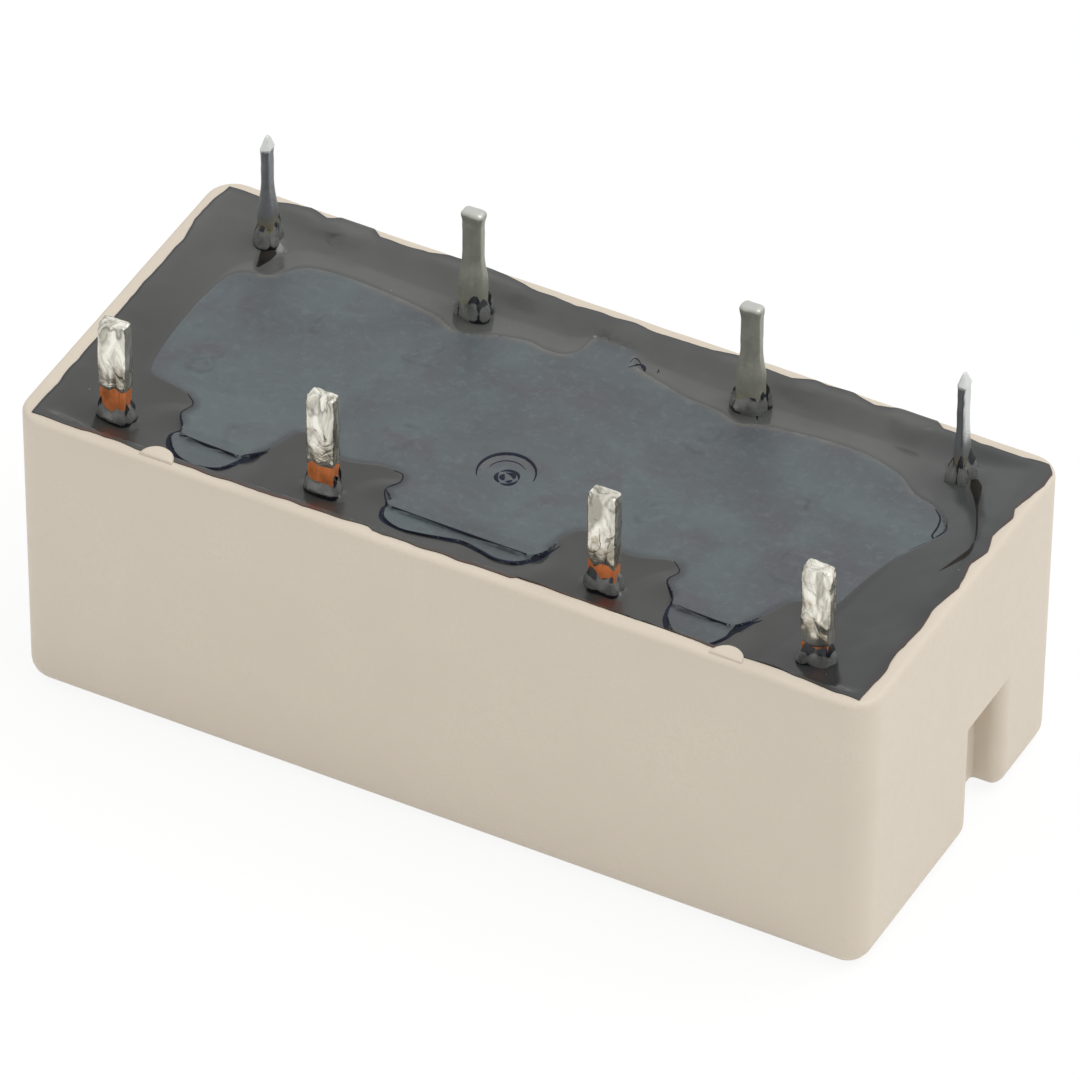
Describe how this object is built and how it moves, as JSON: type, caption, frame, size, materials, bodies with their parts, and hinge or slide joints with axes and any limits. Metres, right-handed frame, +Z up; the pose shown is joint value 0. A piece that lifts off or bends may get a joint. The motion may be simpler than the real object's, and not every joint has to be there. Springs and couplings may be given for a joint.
{
  "type": "pcb power relay",
  "caption": "Sealed board-mount power relay in a beige cover with a resin-filled pin side and solder terminals; a swinging armature works the contact springs inside.",
  "frame": {"origin": "middle of the cover's closed face, which the relay lies on", "axes": "+Z up along the terminals, +X along the cover towards the grooved end, +Y towards the coil row"},
  "size_m": [0.031, 0.014, 0.0154],
  "materials": {
    "cover": "moulded, fine matte texture",
    "base": "moulded, cloudy matte",
    "resin": "cast epoxy, glossy",
    "bobbin": "moulded, matte",
    "winding": "enamelled copper wire",
    "pole_iron": "annealed soft iron, satin",
    "magnet": "sintered magnet, dull",
    "pivot": "drawn steel",
    "card": "moulded, matte",
    "spring": "rolled spring bronze",
    "contact": "silver alloy, satin",
    "contact_terminal": "copper strip, dip tinned",
    "rivet": "copper alloy",
    "coil_terminal": "copper alloy strip, dull tin",
    "coil_lead": "enamelled copper wire"
  },
  "bodies": {
    "housing": {"cover": "cover", "base": "base", "seal_resin": "resin", "coil_bobbin": "bobbin", "coil_winding": "winding", "front_pole_plate": "pole_iron", "rear_pole_plate": "pole_iron", "armature_pivot": "pivot", "left_magnet": "magnet", "left_fixed_contact": "contact", "left_fixed_terminal": "contact_terminal", "left_common_terminal": "contact_terminal", "left_spring_rivet": "rivet", "outer_left_coil_terminal": "coil_terminal", "outer_left_coil_lead": "coil_lead", "inner_left_coil_terminal": "coil_terminal", "inner_left_coil_lead": "coil_lead", "right_magnet": "magnet", "right_fixed_contact": "contact", "right_fixed_terminal": "contact_terminal", "right_common_terminal": "contact_terminal", "right_spring_rivet": "rivet", "outer_right_coil_terminal": "coil_terminal", "outer_right_coil_lead": "coil_lead", "inner_right_coil_terminal": "coil_terminal", "inner_right_coil_lead": "coil_lead"},
    "armature": {"armature": "pole_iron", "left_card": "card", "right_card": "card"},
    "left_spring": {"left_moving_spring": "spring", "left_moving_contact": "contact"},
    "right_spring": {"right_moving_spring": "spring", "right_moving_contact": "contact"}
  },
  "joints": [
    {"name": "armature_swing", "type": "hinge", "parent": "housing", "child": "armature", "pos_m": [0, 0.00218, 0.0052], "axis": [0, 0, 1], "range_deg": [0, 3]},
    {"name": "left_spring_flex", "type": "hinge", "parent": "housing", "child": "left_spring", "pos_m": [-0.00508, -0.0042, 0.0052], "axis": [0, 0, 1], "range_deg": [0, 4.92]},
    {"name": "right_spring_flex", "type": "hinge", "parent": "housing", "child": "right_spring", "pos_m": [0.00508, -0.0042, 0.0052], "axis": [0, 0, 1], "range_deg": [0, 4.92]}
  ],
  "couplings": [
    {"joint": "left_spring_flex", "follows": "armature_swing", "ratio": 1.6377},
    {"joint": "right_spring_flex", "follows": "armature_swing", "ratio": 1.6377}
  ]
}
